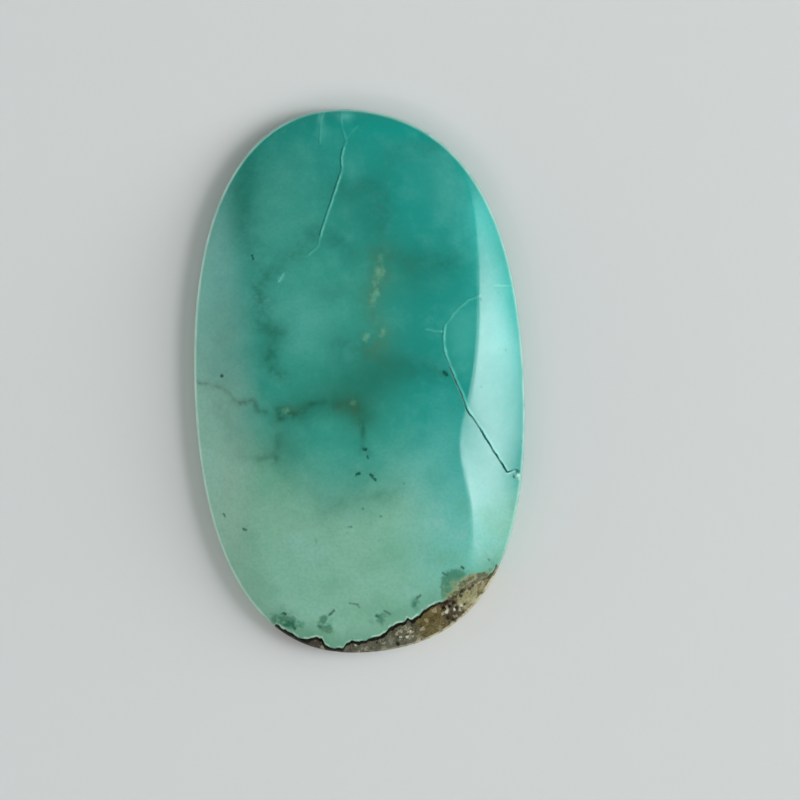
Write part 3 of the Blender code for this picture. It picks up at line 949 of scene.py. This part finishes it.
def add_marks(tree, place, colour):
    """Veins, stains, flecks, specks and fractures over the turquoise, with a painted highlight along the
    rim, painted reflections along the fractures and a painted shade along the left ridge.
    """
    ragged = grain(place, 0.34, 3.0, 0.62)
    uneven = scaled(step(ragged, 0.30, 0.68), 0.8, 0.6)
    fleck = plus(field(tree, "fleck"), about_zero(ragged, 0.42))
    seam, seam_bright = field(tree, "seam"), field(tree, "seam_bright")
    return lay_over(colour, (
        (field(tree, "bright"), "bright_patch", 1.0),
        # Veins, with a painted shade along the left ridge.
        (times(field(tree, "vein"), uneven, clamp=True), "vein", 1.0),
        (times(field(tree, "stain"), uneven, clamp=True), "stain", 0.8),
        (step(fleck, 0.20, -0.16), "fleck", 0.36),
        # Pale ground rim with a painted highlight along it.
        (field(tree, "rim"), "rim", 1.0),
        (step(field(tree, "pale_grain"), 0.04, -0.04), "chip", 0.6),
        (speck_share(tree, place), "speck", 0.90),
        # Bright healed edges of the fractures, partly painted reflection.
        (times(band(seam, 0.12, 0.16, 0.14), seam_bright), "seam_pale_and_reflection", 0.36),
        (times(band(seam, 0.055, 0.055, 0.035), seam_bright), "seam_edge_and_reflection", 0.8),
        (gap_share(tree), "seam_gap", 0.92),
    ))


def add_patches(tree, place, colour):
    """Copper-green and brown patches where the turquoise meets the rock, which darkens it a little."""
    beside = step(field(tree, "rock"), -1.3, -0.1)
    colour = lay_over(colour, ((beside, "beside_rock", 0.38),))
    ragged = about_zero(grain(place, 0.42, 4.0, 0.65), 1.0)
    copper, brown = field(tree, "copper"), field(tree, "brown")
    olive = step(plus(brown, times(ragged, 1.4)), 0.02, 0.50)
    patch = blend(olive, colour_of("copper_green"), colour_of("copper_olive"))
    share = step(plus(copper, times(ragged, 2.6)), 0.10, 0.95)
    share = times(share, times(copper, 2.0), clamp=True)
    colour = blend(times(share, 0.78), colour, patch)
    mixed = step(grain(place, 0.30, 3.0, 0.6), 0.44, 0.58)
    patch = blend(mixed, colour_of("patch_brown"), colour_of("patch_tan"))
    share = step(plus(brown, times(ragged, 1.8)), 0.25, 0.75)
    share = times(share, times(brown, 2.0), clamp=True)
    return blend(times(share, 0.85), colour, patch)


def rock_colour(tree, place):
    """Grey-brown host rock that turns golden, then tan, towards its right end."""
    mottle = grain(place, 0.30, 4.0, 0.65)
    fine = grain(place, 0.08, 3.0, 0.7)
    along = plus(field(tree, "round_rim"), about_zero(mottle, 12.0))
    cells = add_node(tree, "TexVoronoi", {"Vector": place, "Scale": 1 / 0.24, "Randomness": 1.0})
    cell = add_node(tree, "SeparateColor", {0: cells.outputs["Color"]}).outputs[0]
    # The rock's rim: a paler ground edge with a painted highlight along it.
    rim = times(step(field(tree, "inset"), 0.17, 0.12), step(along, -92, -66))
    ragged = about_zero(fine, 0.10)
    return lay_over(colour_of("rock_brown"), (
        (step(along, -108, -98), "rock_grey", 1.0),
        (step(along, -76, -70), "rock_gold", 1.0),
        (step(along, -61, -56), "rock_tan", 1.0),
        (band(along, -60.0, 2.6, 1.8), "rock_band", 0.85),
        (step(cell, 0.42, 0.0), "cell_dark", 0.45),
        (step(cell, 0.72, 1.0), "cell_light", 0.50),
        (step(mottle, 0.46, 0.32), "rock_shade", 0.7),
        (step(fine, 0.58, 0.72), "grain_light", 0.6),
        (step(fine, 0.44, 0.32), "grain_dark", 0.6),
        (times(rim, step(mottle, 0.35, 0.55)), "rock_rim_paleness_and_highlight", 1.0),
        (step(plus(field(tree, "pit"), ragged), 0.03, -0.04), "rock_pit", 0.9),
        (step(plus(field(tree, "pale_grain"), ragged), 0.02, -0.03), "rock_white", 0.75),
    ))


def join_rock(tree, place, rock, on_rock, colour):
    """The rock beside the turquoise, with a painted highlight on the turquoise's lip and a dark gap that
    fade at its right end.
    """
    coarse = grain(place, 0.55, 2.0, 0.6)
    blurred = band(field(tree, "round_rim"), -51.0, 12.0, 3.0)
    # Painted highlight along the rounded lip of the turquoise beside the rock.
    lip = times(band(rock, -0.060, 0.055, 0.03), step(coarse, 0.44, 0.58))
    lip = times(lip, scaled(blurred, -0.70, 0.70))
    colour = blend(lip, colour, colour_of("ledge_lip_highlight"))
    colour = blend(on_rock, colour, rock_colour(tree, place))
    thick = scaled(coarse, 0.56, -0.10)
    inner_side = step(minus(rock, thick), 0.02, -0.02)
    gap = times(step(rock, -0.015, 0.01), inner_side)
    gap = times(gap, scaled(blurred, -0.45, 0.95))
    return blend(gap, colour, colour_of("ledge_gap"))


def stone_shine(tree, place, on_rock):
    """How strongly the surface mirrors: less in gaps, in specks, on the rock and on the worn ridge."""
    open_share = maths("MAXIMUM", gap_share(tree), times(speck_share(tree, place), 0.8))
    open_share = maths("MAXIMUM", open_share, times(on_rock, 0.5))
    shine = scaled(open_share, -SHINE_LOST_IN_GAPS, FULL_SHINE)
    return times(shine, scaled(field(tree, "ridge"), -SHINE_LOST_ON_RIDGE, 1.0))


def stone_material():
    material = bpy.data.materials.new("turquoise_and_host_rock")
    material.use_nodes = True
    tree = material.node_tree
    place = stone_place(tree)
    ragged = about_zero(grain(place, 0.11, 3.0, 0.6), 0.09)
    rock = plus(field(tree, "rock"), ragged)
    on_rock = step(rock, -0.012, 0.012)
    colour = add_marks(tree, place, turquoise_colour(tree, place))
    colour = add_patches(tree, place, colour)
    colour = join_rock(tree, place, rock, on_rock, colour)
    polish = scaled(grain(place, 0.9, 4.0, 0.6), POLISH_UNEVENNESS, POLISHED_ROUGHNESS)
    polish = plus(polish, times(field(tree, "rim"), RIM_ROUGHNESS))
    roughness = add_node(tree, "Mix", {0: on_rock, 2: polish, 3: ROCK_ROUGHNESS}).outputs[0]
    rock_skin = times(grain(place, 0.07, 4.0, 0.7), on_rock)
    stone_skin = times(grain(place, 0.25, 3.0, 0.6), 0.03)
    height = times(plus(rock_skin, stone_skin), SKIN_RELIEF * MM)
    bump = add_node(tree, "Bump", {"Height": height, "Distance": 1.0, "Strength": 1.0})
    fill_inputs(tree.nodes["Principled BSDF"], {
        "Base Color": colour,
        "Roughness": roughness,
        "Specular IOR Level": stone_shine(tree, place, on_rock),
        "IOR": REFRACTIVE_INDEX,
        "Subsurface Weight": INNER_GLOW,
        "Subsurface Radius": INNER_GLOW_COLOURS,
        "Subsurface Scale": INNER_GLOW_REACH * MM,
        "Normal": bump.outputs["Normal"],
    })
    return material


def build_stone():
    mesh = stone_mesh()
    divide_fine_places(mesh)
    shape_and_mark(mesh)
    mesh.materials.append(stone_material())
    mesh.shade_smooth()
    stone = bpy.data.objects.new("turquoise_stone", mesh)
    bpy.context.scene.collection.objects.link(stone)
    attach(stone, "root")
    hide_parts("cabochon")


def build_floor():
    bpy.ops.mesh.primitive_plane_add(size=FLOOR_SIZE * MM)
    floor = bpy.context.object
    floor.name = "floor"
    material = bpy.data.materials.new("pale_floor")
    material.use_nodes = True
    looks = {"Base Color": colour_of("floor"), "Roughness": 0.8, "Specular IOR Level": 0.2}
    fill_inputs(material.node_tree.nodes["Principled BSDF"], looks)
    floor.data.materials.append(material)


def build_softbox():
    """A broad soft light on the right. Its lower edge slants up towards the stone's near end."""
    ends = SOFTBOX_SIDES[0][0], SOFTBOX_SIDES[-1][0]
    turn, up = np.meshgrid(np.arange(ends[0], ends[1] + 1), np.arange(SOFTBOX_TOP + 1))
    edge = np.interp(turn, *zip(*SOFTBOX_LOWER_EDGE))
    blur = SOFTBOX_EDGE_BLUR + SOFTBOX_EDGE_BLUR_RISE * edge
    strength = np.interp(turn, *zip(*SOFTBOX_SIDES)) * smooth_step(edge - blur, edge + blur, up)
    strength *= np.interp(up, *zip(*SOFTBOX_RISE)) * (1 - smooth_step(SOFTBOX_TOP - 10, SOFTBOX_TOP, up))
    turn, up = np.radians(turn), np.radians(up)
    points = SOFTBOX_DISTANCE * MM * np.stack((np.cos(turn), np.sin(turn), np.tan(up)), axis=-1)
    rows, columns = turn.shape
    faces = []
    for row in range(rows - 1):
        for column in range(columns - 1):
            here = row * columns + column
            faces.append((here, here + columns, here + columns + 1, here + 1))
    mesh = bpy.data.meshes.new("softbox")
    mesh.from_pydata(points.reshape(-1, 3).tolist(), [], faces)
    shine = mesh.attributes.new("shine", "FLOAT", "POINT")
    shine.data.foreach_set("value", np.asarray(SOFTBOX_POWER * strength, dtype=np.float32).ravel())
    material = bpy.data.materials.new("softbox")
    material.use_nodes = True
    tree = material.node_tree
    tree.nodes.clear()
    light = add_node(tree, "Emission", {"Color": SOFTBOX_COLOUR, "Strength": field(tree, "shine")})
    add_node(tree, "OutputMaterial", {"Surface": light.outputs[0]})
    mesh.materials.append(material)
    softbox = bpy.data.objects.new("softbox", mesh)
    bpy.context.scene.collection.objects.link(softbox)
    softbox.visible_camera = False


def build_sky():
    """Even light from all round, darker overhead and to the ends, with a broad glow low on the left."""
    world = bpy.data.worlds.new("soft_sky")
    world.use_nodes = True
    tree = world.node_tree
    towards = add_node(tree, "TexCoord").outputs["Generated"]
    split = add_node(tree, "SeparateXYZ", {0: towards}).outputs
    level = add_node(tree, "CombineXYZ", {"X": split["X"], "Y": split["Y"]}).outputs["Vector"]
    level = add_node(tree, "VectorMath", {0: level}, operation="NORMALIZE").outputs["Vector"]
    level_split = add_node(tree, "SeparateXYZ", {0: level}).outputs
    sideways = step(maths("ABSOLUTE", level_split["X"]), *SIDEWAYS)
    colour = blend(sideways, SKY_TO_ENDS, SKY_TO_SIDES)
    halfway = step(split["Z"], *HALFWAY_UP)
    nearer = step(level_split["Y"], *AWAY_FROM_FAR_END)
    colour = blend(times(halfway, nearer), colour, SKY_HALFWAY)
    overhead = step(split["Z"], *OVERHEAD)
    colour = blend(overhead, colour, SKY_OVERHEAD)
    pair = {0: level, 1: GLOW_TOWARDS}
    leftward = add_node(tree, "VectorMath", pair, operation="DOT_PRODUCT").outputs["Value"]
    glow = step(leftward, *NEAR_GLOW)
    low = step(split["Z"], *BELOW_GLOW_TOP)
    colour = blend(times(glow, low), colour, SKY_GLOW)
    fill_inputs(tree.nodes["Background"], {"Color": colour, "Strength": 1.0})
    bpy.context.scene.world = world


def build_camera():
    """Straight above, turned a little so that the stone leans as it does in the photograph."""
    camera = bpy.data.objects.new("camera", bpy.data.cameras.new("camera"))
    bpy.context.scene.collection.objects.link(camera)
    camera.location = (CAMERA_X * MM, CAMERA_Y * MM, (CAMERA_DISTANCE + WALL_TOP) * MM)
    camera.rotation_euler = (0, 0, CAMERA_TURN)
    camera.data.sensor_width = SENSOR_WIDTH
    camera.data.lens = SENSOR_WIDTH * CAMERA_DISTANCE / VIEW_WIDTH
    camera.data.clip_start = 0.01
    camera.data.dof.use_dof = False
    bpy.context.scene.camera = camera


bpy.context.scene.view_settings.view_transform = "Standard"
build_stone()
build_floor()
build_softbox()
build_sky()
build_camera()
